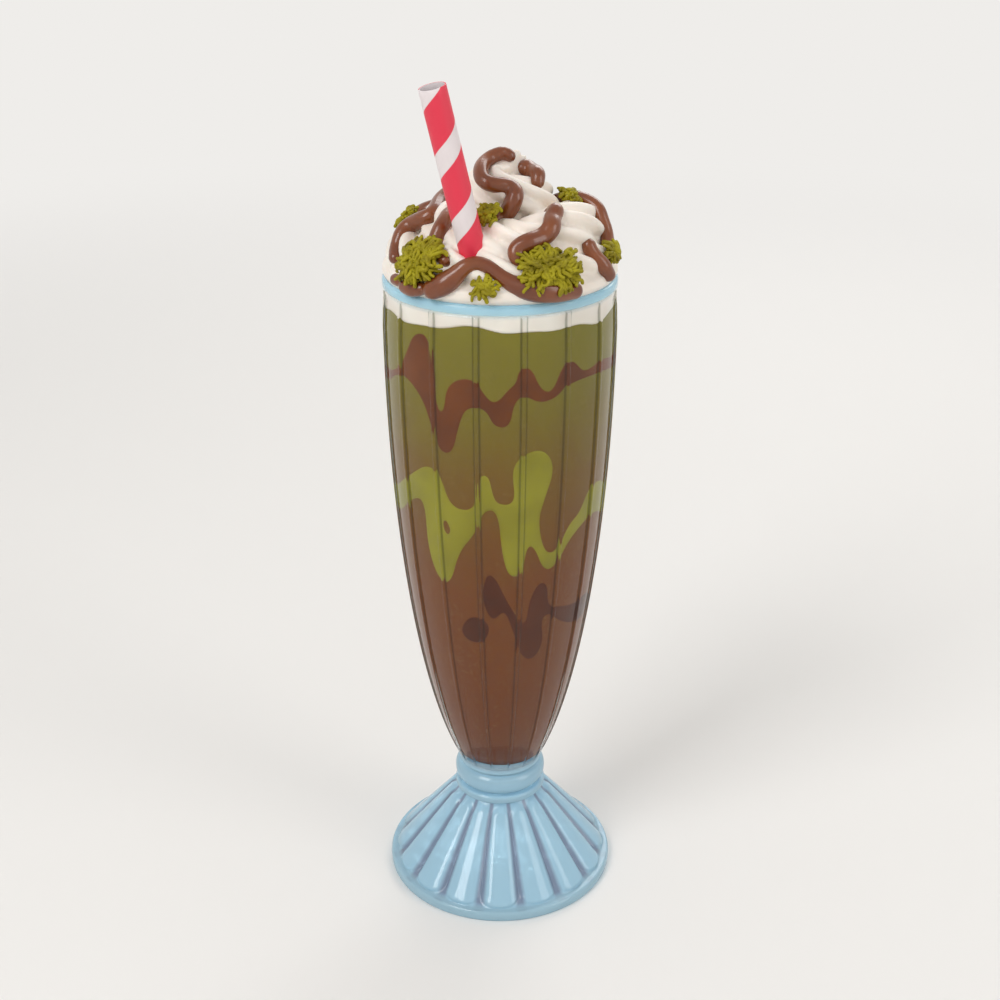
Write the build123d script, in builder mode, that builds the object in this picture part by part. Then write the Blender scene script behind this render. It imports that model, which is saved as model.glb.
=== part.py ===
"""A milkshake in a tall footed soda glass, topped with piped cream, pastry shreds and a straw.

Millimetres, +Z up. The origin is the centre of the foot's resting ring, and -Y is the front.
The glass is one pressed piece: a fluted foot, a ringed collar and a fluted bowl.
The drink fills the bowl in two layers, and the cream stands on it up to a swirled peak.
"""

import os
from math import acos, atan2, cos, hypot, radians, sin

from build123d import *

# The bowl of the glass
glass_height = 220.0
flute_count = 16
bowl_radius = 37.0  # over the ribs, where the bowl is widest
lip_radius = 36.6
bowl_shoulder_z = 205.0  # above this height the bowl's sides are upright
bowl_outer_drop = 174.4  # half length of the ellipse that the outside follows
bowl_bottom_z = 44.5
bowl_steps = 9
wall = 2.6  # at the lip
rib_share = 0.13  # part of each flute's width that its raised rib takes
rib_rise = 0.5
flute_depth = 0.6  # from a rib's foot to the middle of the hollow beside it
lip_band = 3.4  # height of the plain rounded lip
lip_rounding = 1.1
cavity_radius = 34.4
cavity_middle_z = 222.0  # the inside follows one ellipse, with its middle above the lip
cavity_drop = 186.0
cavity_floor_z = 47.0
cavity_floor_rounding = 4.2

# The foot and the collar between foot and bowl
foot_radius = 40.1
foot_ring_height = 3.9
petal_base = (38.9, 3.4)  # radius and height
petal_middle = (27.6, 17.2)
petal_top = (15.2, 31.8)
petal_groove = 0.06  # depth between two petals, as part of the radius
underside_radius = 33.0
underside_depth = 4.0
# each ring of the collar: radius, bottom, top, rounding
collar_rings = [
    (15.9, 31.4, 34.6, 1.2),
    (15.9, 34.3, 42.7, 3.6),
    (14.5, 42.3, 45.4, 1.3),
]
collar_waist_radius = 13.8
collar_waist_overlap = 0.5  # how far the waist reaches into the foot and the bowl

# The drink
drink_gap = 0.05  # between the drink and the wall
chocolate_top_z = 148.0
pistachio_top_z = 211.5

# The cream: the piped mound, then the swirl on it, each as mean radius and height
plug_top_z = 224.3  # of the cream that fills the mouth of the glass
mound_profile = [
    (34.9, 220.3),
    (35.7, 224.0),
    (33.6, 229.5),
    (29.6, 234.5),
    (23.4, 239.0),
    (13.0, 242.0),
]
mound_lobes = 11
mound_twist = 44.0
mound_shift = 2.0  # how far the mound's top leans to the right
swirl_profile = [
    (15.2, 239.0),
    (14.6, 243.5),
    (12.8, 248.0),
    (10.0, 252.3),
    (6.4, 255.6),
    (2.4, 257.8),
]
swirl_lobes = 7
swirl_twist = 95.0
swirl_centre_x = 1.8
lobe_depth = 0.11  # as part of the radius

# The straw: the centre of its mouth, and how far it leans for each millimetre down
straw_mouth = (-18.6, -30.6, 280.5)
straw_lean = (0.226, 0.118)
straw_foot_z = 108.0
straw_radius = 4.0
straw_wall = 0.5

# Heaps of pastry shreds: centre x, y, z, radius, height and number of tufts over the heap
tuft_share = 0.3  # a tuft's size, as part of the heap's height
tuft_turn = 137.5  # degrees round the heap from one tuft to the next
heap_lean_z = 26.0  # how steeply the heaps face up from the cream's flanks
left_large_heap = (-22.8, -23.8, 228.8, 8.4, 6.4, 21)
right_large_heap = (13.9, -29.2, 227.8, 9.8, 6.4, 23)
front_small_heap = (-4.0, -34.0, 224.2, 3.6, 3.4, 9)
right_edge_heap = (32.2, -11.0, 228.0, 3.6, 3.6, 9)
right_top_heap = (19.2, 3.0, 241.0, 4.7, 4.2, 11)
back_left_heap = (-27.0, 6.0, 234.0, 4.3, 4.0, 11)
by_straw_heap = (-3.6, -17.6, 240.2, 4.3, 4.4, 11)


def polar(radius, angle):
    """A point at that radius and angle in degrees, where -90 is the front."""
    return (radius * cos(radians(angle)), radius * sin(radians(angle)))


def flutes(radius):
    """A rib and a hollow, all the way round a section of the bowl."""
    pitch = 360 / flute_count
    rib_half = pitch * rib_share / 2
    shrink = 0.3 + 0.7 * radius / bowl_radius
    foot = radius - rib_rise * shrink
    hollow = foot - flute_depth * shrink
    for number in range(flute_count):
        middle = (number + 0.5) * pitch - 90
        rib_start = polar(foot, middle - rib_half)
        rib_end = polar(foot, middle + rib_half)
        next_start = polar(foot, middle + pitch - rib_half)
        ThreePointArc(rib_start, polar(radius, middle), rib_end)
        ThreePointArc(rib_end, polar(hollow, middle + pitch / 2), next_start)


def lobes(radius, count, depth, turn=0.0, centre_x=0.0):
    """Rounded lobes that meet in creases, all the way round a section."""
    pitch = 360 / count
    for number in range(count):
        start = (number + 0.5) * pitch - 90 + turn
        low_start = polar(radius - depth, start)
        crest = polar(radius, start + pitch / 2)
        low_end = polar(radius - depth, start + pitch)
        ThreePointArc(*[(x + centre_x, y) for x, y in (low_start, crest, low_end)])


def cavity_section(gap, bottom, top):
    """Half section of the bowl's inside between two heights, in a sketch on the XZ plane."""
    with Locations((0, cavity_middle_z)):
        Ellipse(cavity_radius - gap, cavity_drop)
    with Locations((0, bottom)):
        Rectangle(100, top - bottom, align=(Align.MIN, Align.MIN), mode=Mode.INTERSECT)


def outer_corner(row):
    """The corner of the present sketch that is furthest out, in the lowest or highest row."""
    return vertices().group_by(Axis.Y)[row].sort_by(Axis.X)[-1]


def dome_point(share):
    """Radius and height on the arc through the petals' base, middle and top."""
    (ax, ay), (bx, by), (cx, cy) = petal_base, petal_middle, petal_top
    double_area = 2 * (ax * (by - cy) + bx * (cy - ay) + cx * (ay - by))
    a2 = ax**2 + ay**2
    b2 = bx**2 + by**2
    c2 = cx**2 + cy**2
    ux = (a2 * (by - cy) + b2 * (cy - ay) + c2 * (ay - by)) / double_area
    uy = (a2 * (cx - bx) + b2 * (ax - cx) + c2 * (bx - ax)) / double_area
    first = atan2(ay - uy, ax - ux)
    last = atan2(cy - uy, cx - ux)
    reach = hypot(ax - ux, ay - uy)
    angle = first + (last - first) * share
    return ux + reach * cos(angle), uy + reach * sin(angle)


def straw_point(z):
    """Centre of the straw at a height."""
    down = straw_mouth[2] - z
    return (straw_mouth[0] + straw_lean[0] * down, straw_mouth[1] + straw_lean[1] * down, z)


# The straw's line, as a plane at its lower end that looks along it
straw_bottom = Vector(*straw_point(straw_foot_z))
straw_top = Vector(*straw_mouth)
straw_length = (straw_top - straw_bottom).length
straw_plane = Plane(origin=straw_bottom, z_dir=straw_top - straw_bottom)
print("straw length", round(straw_length, 1))

# The space that the straw takes up, to be cut from the food
with BuildPart() as straw_room:
    with BuildSketch(straw_plane):
        Circle(straw_radius + drink_gap)
    extrude(amount=straw_length)
    with BuildSketch(straw_plane.offset(-drink_gap)):
        Circle(straw_radius + drink_gap)
    extrude(amount=straw_length / 2)

# The glass: first the bowl, in fluted sections that follow its ellipse
with BuildPart() as glass:
    lowest = acos((bowl_shoulder_z - bowl_bottom_z) / bowl_outer_drop)
    for step in range(bowl_steps):
        angle = lowest + (radians(90) - lowest) * step / (bowl_steps - 1)
        z = bowl_shoulder_z - bowl_outer_drop * cos(angle)
        with BuildSketch(Plane.XY.offset(z)):
            with BuildLine():
                flutes(bowl_radius * sin(angle))
            make_face()
    with BuildSketch(Plane.XY.offset(glass_height - lip_band)):
        with BuildLine():
            flutes(lip_radius - 0.1)
        make_face()
    loft()
    # the plain lip
    with BuildSketch(Plane.XZ):
        with Locations((lip_radius / 2, glass_height - lip_band / 2)):
            Rectangle(lip_radius, lip_band)
        outer = vertices().group_by(Axis.X)[-1]
        fillet(outer, lip_rounding)
    revolve(axis=Axis.Z)
    # the collar's rings on their waist
    for radius, bottom, top, rounding in collar_rings:
        with BuildSketch(Plane.XZ):
            with Locations((0, (bottom + top) / 2)):
                RectangleRounded(2 * radius, top - bottom, rounding)
                Rectangle(radius, top - bottom, align=(Align.MAX, Align.CENTER), mode=Mode.SUBTRACT)
        revolve(axis=Axis.Z)
    with Locations((0, 0, (petal_top[1] + bowl_bottom_z) / 2)):
        Cylinder(collar_waist_radius, bowl_bottom_z - petal_top[1] + 2 * collar_waist_overlap)
    # the foot's petals, which fade out towards the collar
    for share in (0.0, 0.25, 0.5, 0.75, 0.9, 1.0):
        radius, z = dome_point(share)
        fade = 1.0 if share < 0.8 else (0.7 if share < 1 else 0.2)
        with BuildSketch(Plane.XY.offset(z)):
            with BuildLine():
                lobes(radius, flute_count, petal_groove * radius * fade)
            make_face()
    loft()
    # the resting ring and the hollow under the foot
    with BuildSketch(Plane.XZ):
        with Locations((foot_radius / 2, foot_ring_height / 2)):
            Rectangle(foot_radius, foot_ring_height)
        chamfer(vertices().group_by(Axis.X)[-1].sort_by(Axis.Y)[-1], 1.2, 0.7)
    revolve(axis=Axis.Z)
    with BuildSketch(Plane.XZ):
        with BuildLine():
            dish = ThreePointArc(
                (-underside_radius, 0), (0, underside_depth), (underside_radius, 0)
            )
            Line(dish @ 1, dish @ 0)
        make_face()
        with Locations((-underside_radius / 2, underside_depth / 2)):
            Rectangle(underside_radius, underside_depth, mode=Mode.SUBTRACT)
    revolve(axis=Axis.Z, mode=Mode.SUBTRACT)
    # the inside of the bowl, with its lip rounded over
    with BuildSketch(Plane.XZ):
        cavity_section(0, cavity_floor_z, glass_height)
        fillet(outer_corner(0), cavity_floor_rounding)
        with Locations((0, glass_height)):
            Rectangle(bowl_radius, wall, align=(Align.MIN, Align.MIN))
        inner_lip = vertices().filter_by_position(Axis.Y, glass_height - 0.1, glass_height + 0.1)
        fillet(inner_lip.sort_by(Axis.X)[-2], lip_rounding)
    revolve(axis=Axis.Z, mode=Mode.SUBTRACT)

# The lower layer of the drink, cut round the straw
with BuildPart() as chocolate_shake:
    with BuildSketch(Plane.XZ):
        cavity_section(drink_gap, cavity_floor_z + drink_gap, chocolate_top_z)
        fillet(outer_corner(0), cavity_floor_rounding)
    revolve(axis=Axis.Z)
    add(straw_room.part, mode=Mode.SUBTRACT)

# The upper layer, up to the cream
with BuildPart() as pistachio_shake:
    with BuildSketch(Plane.XZ):
        cavity_section(drink_gap, chocolate_top_z, pistachio_top_z)
    revolve(axis=Axis.Z)
    add(straw_room.part, mode=Mode.SUBTRACT)

# The cream: a plug inside the lip, the piped mound over it and the swirl on top
with BuildPart() as whipped_cream:
    with BuildSketch(Plane.XY.offset(pistachio_top_z)):
        Circle(cavity_radius - 0.2)
    extrude(amount=plug_top_z - pistachio_top_z)
    lowest_z = mound_profile[0][1]
    highest_z = mound_profile[-1][1]
    for radius, z in mound_profile:
        share = (z - lowest_z) / (highest_z - lowest_z)
        with BuildSketch(Plane.XY.offset(z)):
            with BuildLine():
                lobes(
                    radius,
                    mound_lobes,
                    lobe_depth * radius * (0.25 + 0.75 * share),
                    mound_twist * share,
                    mound_shift * share,
                )
            make_face()
    loft()
    lowest_z = swirl_profile[0][1]
    highest_z = swirl_profile[-1][1]
    for radius, z in swirl_profile:
        share = (z - lowest_z) / (highest_z - lowest_z)
        with BuildSketch(Plane.XY.offset(z)):
            with BuildLine():
                lobes(
                    radius,
                    swirl_lobes,
                    lobe_depth * 1.5 * radius,
                    swirl_twist * share,
                    swirl_centre_x + 0.6 * share,
                )
            make_face()
    loft()
    add(straw_room.part, mode=Mode.SUBTRACT)

# The straw, a paper tube that is open at both ends
with BuildPart() as straw:
    with BuildSketch(straw_plane):
        Circle(straw_radius)
        Circle(straw_radius - straw_wall, mode=Mode.SUBTRACT)
    extrude(amount=straw_length)


def heap(centre_x, centre_y, centre_z, radius, height, count):
    """A low mound with an uneven outline, made of rounded tufts round a smooth core."""
    away = Vector(centre_x, centre_y, heap_lean_z).normalized()
    place = Plane(origin=(centre_x, centre_y, centre_z), z_dir=away)
    tuft = tuft_share * height
    with BuildPart() as pile:
        Sphere(1.0)
        scale(by=(radius - tuft, radius - tuft, height - tuft))
        for number in range(count):
            turn = radians(number * tuft_turn)
            rise = radians(8 + 74 * (number / count) ** 1.3)
            size = tuft * (0.85 + 0.15 * (number % 3))
            out = radius - size - 0.1 * tuft * (number % 2)
            up = height - size
            with Locations(
                (out * cos(turn) * cos(rise), out * sin(turn) * cos(rise), up * sin(rise))
            ):
                Sphere(size)
    return place.from_local_coords(pile.part)


# The heaps rest on the cream, so each is cut where the cream and the straw are
with BuildPart() as kataifi_left_large:
    add(heap(*left_large_heap))
    add(whipped_cream.part, mode=Mode.SUBTRACT)
    add(straw_room.part, mode=Mode.SUBTRACT)

with BuildPart() as kataifi_right_large:
    add(heap(*right_large_heap))
    add(whipped_cream.part, mode=Mode.SUBTRACT)

with BuildPart() as kataifi_front_small:
    add(heap(*front_small_heap))
    add(whipped_cream.part, mode=Mode.SUBTRACT)

with BuildPart() as kataifi_right_edge:
    add(heap(*right_edge_heap))
    add(whipped_cream.part, mode=Mode.SUBTRACT)

with BuildPart() as kataifi_right_top:
    add(heap(*right_top_heap))
    add(whipped_cream.part, mode=Mode.SUBTRACT)

with BuildPart() as kataifi_back_left:
    add(heap(*back_left_heap))
    add(whipped_cream.part, mode=Mode.SUBTRACT)

with BuildPart() as kataifi_by_straw:
    add(heap(*by_straw_heap))
    add(whipped_cream.part, mode=Mode.SUBTRACT)
    add(straw_room.part, mode=Mode.SUBTRACT)

glass.part.label = "glass"
chocolate_shake.part.label = "chocolate_shake"
pistachio_shake.part.label = "pistachio_shake"
whipped_cream.part.label = "whipped_cream"
straw.part.label = "straw"
kataifi_left_large.part.label = "kataifi_left_large"
kataifi_right_large.part.label = "kataifi_right_large"
kataifi_front_small.part.label = "kataifi_front_small"
kataifi_right_edge.part.label = "kataifi_right_edge"
kataifi_right_top.part.label = "kataifi_right_top"
kataifi_back_left.part.label = "kataifi_back_left"
kataifi_by_straw.part.label = "kataifi_by_straw"

os.makedirs("parts", exist_ok=True)
export_step(glass.part, "parts/glass.step")
export_step(chocolate_shake.part, "parts/chocolate_shake.step")
export_step(pistachio_shake.part, "parts/pistachio_shake.step")
export_step(whipped_cream.part, "parts/whipped_cream.step")
export_step(straw.part, "parts/straw.step")
export_step(kataifi_left_large.part, "parts/kataifi_left_large.step")
export_step(kataifi_right_large.part, "parts/kataifi_right_large.step")
export_step(kataifi_front_small.part, "parts/kataifi_front_small.step")
export_step(kataifi_right_edge.part, "parts/kataifi_right_edge.step")
export_step(kataifi_right_top.part, "parts/kataifi_right_top.step")
export_step(kataifi_back_left.part, "parts/kataifi_back_left.step")
export_step(kataifi_by_straw.part, "parts/kataifi_by_straw.step")
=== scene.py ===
import random
from math import acos, atan2, cos, hypot, pi, radians, sin, sqrt

import bpy
import numpy as np
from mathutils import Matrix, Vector, noise
from mathutils.bvhtree import BVHTree


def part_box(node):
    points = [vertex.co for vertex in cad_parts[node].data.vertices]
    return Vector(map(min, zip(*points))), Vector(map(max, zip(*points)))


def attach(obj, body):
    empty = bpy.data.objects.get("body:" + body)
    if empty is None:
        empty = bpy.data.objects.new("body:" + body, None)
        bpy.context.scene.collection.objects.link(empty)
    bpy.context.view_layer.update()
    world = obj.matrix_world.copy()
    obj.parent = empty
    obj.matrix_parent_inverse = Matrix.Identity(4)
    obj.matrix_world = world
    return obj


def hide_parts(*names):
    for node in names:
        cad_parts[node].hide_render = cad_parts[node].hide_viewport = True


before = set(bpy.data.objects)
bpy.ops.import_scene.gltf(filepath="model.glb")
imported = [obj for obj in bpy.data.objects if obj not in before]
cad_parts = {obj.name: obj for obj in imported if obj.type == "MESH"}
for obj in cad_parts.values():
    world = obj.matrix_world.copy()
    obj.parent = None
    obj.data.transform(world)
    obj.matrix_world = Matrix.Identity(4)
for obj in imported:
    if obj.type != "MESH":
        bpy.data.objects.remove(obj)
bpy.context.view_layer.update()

# A pistachio and chocolate milkshake in a footed soda glass.
# Shapes are worked out in millimetres and turn into metres in makePiece.
mm = 0.001


def fromHex(code):  # hex colour to linear values
    parts = [int(code[i:i + 2], 16) / 255 for i in (0, 2, 4)]
    return [c / 12.92 if c <= 0.04045 else ((c + 0.055) / 1.055) ** 2.4 for c in parts] + [1.0]


def toScreen(value):  # a linear value as it is written in a colour code
    return value * 12.92 if value <= 0.0031308 else 1.055 * value ** (1 / 2.4) - 0.055


def smoothStep(low, high, value):
    t = np.clip((np.asarray(value, float) - low) / (high - low), 0, 1)
    return t * t * (3 - 2 * t)


def putInScene(name, data):
    thing = bpy.data.objects.new(name, data)
    bpy.context.scene.collection.objects.link(thing)
    return thing


def makePiece(name, points, faces, material=None):
    mesh = bpy.data.meshes.new(name)
    mesh.from_pydata((np.asarray(points, float) * mm).tolist(), [], faces)
    mesh.polygons.foreach_set("use_smooth", [True] * len(mesh.polygons))
    mesh.validate()
    mesh.update()
    if material:
        mesh.materials.append(material)
    return putInScene(name, mesh)


def ringOf(radius, z, angles):  # one row of points round the Z axis
    radius = radius + 0 * angles
    return np.stack([radius * np.cos(angles), radius * np.sin(angles), z + 0 * angles], axis=1)


def wrapRows(rows):  # rows of points round an axis, from the first row to the last, capped by fans
    rows = np.asarray(rows, float)
    count, around = rows.shape[:2]
    faces = []
    for a in range(0, (count - 1) * around, around):
        for j in range(around):
            k = (j + 1) % around
            faces.append((a + j, a + k, a + around + k, a + around + j))
    points = rows.reshape(-1, 3)
    start, end = len(points), len(points) + 1
    points = np.vstack([points, rows[0].mean(0), rows[-1].mean(0)])
    last = (count - 1) * around
    for j in range(around):
        k = (j + 1) % around
        faces += [(start, k, j), (end, last + j, last + k)]
    return points, faces


def together(parts):  # several (points, faces) as one
    whole, faces, offset = [], [], 0
    for points, sides in parts:
        whole.append(points)
        faces += [tuple(i + offset for i in face) for face in sides]
        offset += len(points)
    return np.vstack(whole), faces


def spun(profile, around):  # profile of (radius, height) turned round the Z axis
    angles = np.linspace(0, 2 * pi, around, endpoint=False)
    return np.array([ringOf(radius, height, angles) for radius, height in profile])


def swept(path, rings, hint, guard=0.0):  # rings hold the radius all round, for each point of the path
    along = np.gradient(path, axis=0)
    along /= np.linalg.norm(along, axis=1)[:, None] + guard
    side = np.cross(along, hint)
    side /= np.linalg.norm(side, axis=1)[:, None] + guard
    up = np.cross(side, along)
    angles = np.linspace(0, 2 * pi, rings.shape[1], endpoint=False)[:, None]
    return wrapRows([p + ring[:, None] * (np.cos(angles) * s + np.sin(angles) * u)
                     for p, ring, s, u in zip(path, rings, side, up)])


def melted(piece, voxel, smoothing):  # what overlaps becomes one skin, a little smoothed
    skin = piece.modifiers.new("skin", "REMESH")
    skin.mode, skin.voxel_size = "VOXEL", voxel * mm
    smooth = piece.modifiers.new("smooth", "SMOOTH")
    smooth.factor, smooth.iterations = 0.5, smoothing
    graph = bpy.context.evaluated_depsgraph_get()
    mesh = bpy.data.meshes.new_from_object(piece.evaluated_get(graph))
    piece.modifiers.clear()
    old, piece.data = piece.data, mesh
    mesh.name = piece.name
    bpy.data.meshes.remove(old)
    mesh.polygons.foreach_set("use_smooth", [True] * len(mesh.polygons))
    return piece


def newMaterial(name):
    material = bpy.data.materials.new(name)
    material.use_nodes = True
    tree = material.node_tree
    return material, tree, tree.nodes["Principled BSDF"]


def fill(tree, node, inputs):  # sockets are linked and other values are set
    for key, value in inputs.items():
        if isinstance(value, bpy.types.NodeSocket):
            tree.links.new(value, node.inputs[key])
        else:
            node.inputs[key].default_value = value


def addNode(tree, kind, inputs=None, **values):
    node = tree.nodes.new(kind)
    for key, value in values.items():
        setattr(node, key, value)
    fill(tree, node, inputs or {})
    return node


def placeOf(tree):  # where a point lies in the frame, in metres
    return addNode(tree, "ShaderNodeTexCoord").outputs["Object"]


def noiseAt(tree, place, scale, detail, **more):
    inputs = {"Scale": scale, "Detail": detail, **more}
    if place is not None:
        inputs["Vector"] = place
    return addNode(tree, "ShaderNodeTexNoise", inputs).outputs["Fac"]


def mathOf(tree, operation, *values):
    return addNode(tree, "ShaderNodeMath", dict(enumerate(values)), operation=operation).outputs[0]


def remap(tree, value, low=0.0, high=1.0, start=0.0, end=1.0, **kinds):
    ranges = {"Value": value, "From Min": low, "From Max": high, "To Min": start, "To Max": end}
    return addNode(tree, "ShaderNodeMapRange", ranges, **kinds).outputs["Result"]


def tinted(tree, tone, share, tint, blend="MIX"):
    inputs = {"Factor": share, 6: tone, 7: fromHex(tint)}
    return addNode(tree, "ShaderNodeMix", inputs, data_type="RGBA", blend_type=blend).outputs[2]


def mixSurface(tree, share, first, second):
    mix = addNode(tree, "ShaderNodeMixShader", {0: share, 1: first.outputs[0], 2: second.outputs[0]})
    tree.links.new(mix.outputs[0], tree.nodes["Material Output"].inputs["Surface"])


def colourRamp(tree, source, stops):  # stops of (place, hex colour)
    node = addNode(tree, "ShaderNodeValToRGB", {"Fac": source})
    elements = node.color_ramp.elements
    while len(elements) < len(stops):
        elements.new(0.5)
    for element, (place, code) in zip(elements, stops):
        element.position = place
        element.color = fromHex(code)
    return node.outputs["Color"]


def addBump(tree, shader, height, distance, strength):
    bump = addNode(tree, "ShaderNodeBump", {"Height": height, "Distance": distance, "Strength": strength})
    tree.links.new(bump.outputs["Normal"], shader.inputs["Normal"])


# The studio: camera, pale floor running up into a backdrop, soft lamps
studio = {
    "lens": 52.16,
    "cameraBack": 437.9,  # in front of the glass's middle
    "cameraHeight": 340.8,
    "lookDown": 24.35,
    "floorTones": ("e9e7e4", "ebe9e6"),
    "farColour": "efedea",
    "farFade": (0.35, 1.3),  # metres from the glass
    "floorReach": 2000,
    "coveRadius": 700,
    "wallTop": 2600,
    "worldLight": 0.62,
    # each lamp's name, place, size and power
    "lamps": [("keyLamp", (-0.75, -0.75, 1.05), (0.55, 0.8), 9.0),
              ("fillLamp", (0.95, -0.55, 0.6), (0.5, 0.9), 3.6),
              ("backLamp", (0.35, 1.0, 0.9), (0.9, 0.6), 5.0)],
}


def makeCamera():
    camera = bpy.data.cameras.new("camera")
    camera.lens = studio["lens"]
    camera.sensor_width = 36
    camera.clip_start = 0.01
    seat = putInScene("camera", camera)
    seat.location = (0, -studio["cameraBack"] * mm, studio["cameraHeight"] * mm)
    seat.rotation_euler = (radians(90 - studio["lookDown"]), 0, 0)
    bpy.context.scene.camera = seat


def makeFloorFinish():
    material, tree, shader = newMaterial("paleFloor")
    grain = noiseAt(tree, None, 3.0, 4.0)
    near, beyond = studio["floorTones"]
    tone = colourRamp(tree, grain, [(0.3, near), (0.7, beyond)])
    fill(tree, shader, {"Base Color": tone, "Roughness": 0.75})
    # far from the glass the floor fades into an even pale tone
    away = addNode(tree, "ShaderNodeVectorMath", {0: placeOf(tree)}, operation="LENGTH").outputs["Value"]
    far = remap(tree, away, *studio["farFade"], interpolation_type="SMOOTHSTEP")
    path = addNode(tree, "ShaderNodeLightPath").outputs
    seen = mathOf(tree, "MAXIMUM", path["Is Camera Ray"], path["Is Glossy Ray"])
    seen = mathOf(tree, "MAXIMUM", seen, path["Is Transmission Ray"])
    glow = addNode(tree, "ShaderNodeEmission", {"Color": fromHex(studio["farColour"])})
    mixSurface(tree, mathOf(tree, "MULTIPLY", seen, far), shader, glow)
    return material


def makeFloor():  # it curves up into a wall all the way round, so every view ends on the same tone
    reach, cove = studio["floorReach"], studio["coveRadius"]
    profile = [(700, 0), (1400, 0), (reach, 0)]
    for step in range(1, 13):
        turn = radians(90 * step / 12)
        profile.append((reach + cove * sin(turn), cove - cove * cos(turn)))
    profile.append((reach + cove, studio["wallTop"]))
    rows = spun(profile, 96)
    count, around = rows.shape[:2]
    points = [tuple(p) for p in rows.reshape(-1, 3)] + [(0, 0, 0)]
    faces = [(len(points) - 1, j, (j + 1) % around) for j in range(around)]
    for a in range(0, (count - 1) * around, around):
        for j in range(around):
            k = (j + 1) % around
            faces.append((a + j, a + around + j, a + around + k, a + k))
    floor = makePiece("studioFloor", points, faces, makeFloorFinish())


def makeLight():
    world = bpy.data.worlds.new("softStudio")
    bpy.context.scene.world = world
    world.use_nodes = True
    sky = world.node_tree.nodes["Background"]
    sky.inputs["Color"].default_value = (1, 1, 1, 1)
    sky.inputs["Strength"].default_value = studio["worldLight"]
    for name, place, size, power in studio["lamps"]:
        lamp = bpy.data.lights.new(name, "AREA")
        lamp.shape = "RECTANGLE"
        lamp.size, lamp.size_y = size
        lamp.energy = power
        box = putInScene(name, lamp)
        box.location = place
        box.rotation_euler = (Vector((0, 0, 0.13)) - Vector(place)).to_track_quat("-Z", "Y").to_euler()


makeCamera()
makeFloor()
makeLight()
bpy.context.scene.view_settings.view_transform = "Standard"
print("studio ready")

# The glass: one pressed piece, worked out row by row from the hollow under the foot,
# up the outside and down the inside
glass = {
    "height": 220.0,
    "flutes": 16,
    "bowlRadius": 37.0,
    "shoulder": 205.0,  # the bowl is upright above it
    "bowlDrop": 174.4,
    "bowlBottom": 45.2,
    "ribShare": 0.13,  # width of a rib as a share of the pitch
    "ribRise": 0.75,
    "fluteDepth": 0.1,
    "ribInside": 0.2,  # how far a rib stands into the bowl
    "lipRadius": 36.6,
    "lipBand": 3.4,
    "lipRounding": 1.1,
    "cavityRadius": 34.4,
    "cavityMiddle": 222.0,  # the hollow is half an ellipse that hangs down from here
    "cavityDrop": 186.0,
    "cavityFloor": 47.0,
    "floorRounding": 4.2,
    # radius and height of each row round the foot's ring, from its flat underside up
    "footRing": [(33.3, 0.04), (33.9, 0), (36.5, 0), (39.0, 0), (39.6, 0.08), (39.95, 0.35), (40.1, 0.8),
                 (40.1, 1.8), (40.05, 2.6), (39.85, 3.2), (39.5, 3.55), (39.2, 3.66)],
    "petalBase": (38.9, 3.4),
    "petalMiddle": (27.6, 17.2),
    "petalTop": (15.2, 31.8),
    "petalGroove": 0.075,  # depth of a groove as a share of the radius
    "petalRows": 52,
    "dishRadius": 33.0,
    "dishDepth": 4.0,
    # each ring of the collar: radius, bottom, top, rounding, and the radius that it starts from
    "collar": [(15.9, 31.5, 34.55, 1.1, 14.6), (15.9, 34.7, 42.5, 3.4, 14.2),
               (14.6, 42.6, 45.2, 1.15, 13.9)],
    # height of each tone and how clear the glass is there, from the foot to the lip
    "tones": [(0, "b0d6e8", 0.3), (44, "b0d6e8", 0.34), (47, "e9f4f8", 0.97), (60, "f8fcfd", 1.0),
              (216.3, "f8fcfd", 1.0), (217.0, "aadcf2", 0.6), (220, "a0d6f2", 0.5)],
    "ribEdge": "8d8f86",  # painted shade: the glass is darkened along both edges of a rib, in place of the dark lines that refraction gives there
    "paintedGrooveShade": "ccb6be",  # and painted shade in the grooves between the petals
    "lampTint": "7fa3b3",  # what lamps lose on their way through the milky foot
    "hub": 3.0,  # radius of the smallest row, where a floor or a top closes
}


def cavityRadius(z):
    share = (glass["cavityMiddle"] - np.asarray(z, float)) / glass["cavityDrop"]
    return glass["cavityRadius"] * np.sqrt(np.clip(1 - share ** 2, 0, 1))


def bowlRadius(z):
    below = max(0.0, glass["shoulder"] - z)
    radius = glass["bowlRadius"] * sqrt(max(0.0, 1 - (below / glass["bowlDrop"]) ** 2))
    above = max(0.0, z - glass["shoulder"]) / (glass["height"] - glass["lipBand"] - glass["shoulder"])
    return radius - above * (glass["bowlRadius"] - glass["lipRadius"] + 0.1)


def domePoint(share):  # on the arc through the petals' base, middle and top
    (ax, ay), (bx, by), (cx, cy) = glass["petalBase"], glass["petalMiddle"], glass["petalTop"]
    area = 2 * (ax * (by - cy) + bx * (cy - ay) + cx * (ay - by))
    a2, b2, c2 = ax * ax + ay * ay, bx * bx + by * by, cx * cx + cy * cy
    ux = (a2 * (by - cy) + b2 * (cy - ay) + c2 * (ay - by)) / area
    uy = (a2 * (cx - bx) + b2 * (ax - cx) + c2 * (bx - ax)) / area
    first, last = atan2(ay - uy, ax - ux), atan2(cy - uy, cx - ux)
    reach, turn = hypot(ax - ux, ay - uy), first + (last - first) * share
    return ux + reach * cos(turn), uy + reach * sin(turn)


def panelColumns():  # angle of each column of points, close together at the ribs
    half = glass["ribShare"] / 2
    beside = [0.0, 0.35 * half, 0.6 * half, 0.8 * half, half, 1.25 * half, 1.8 * half, 0.19, 0.28, 0.39]
    shares = sorted(set(beside + [1 - s for s in beside[1:]] + [0.5]))
    pitch = 2 * pi / glass["flutes"]
    return np.array([(n + 0.5 + s) * pitch - pi / 2 for n in range(glass["flutes"]) for s in shares])


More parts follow.
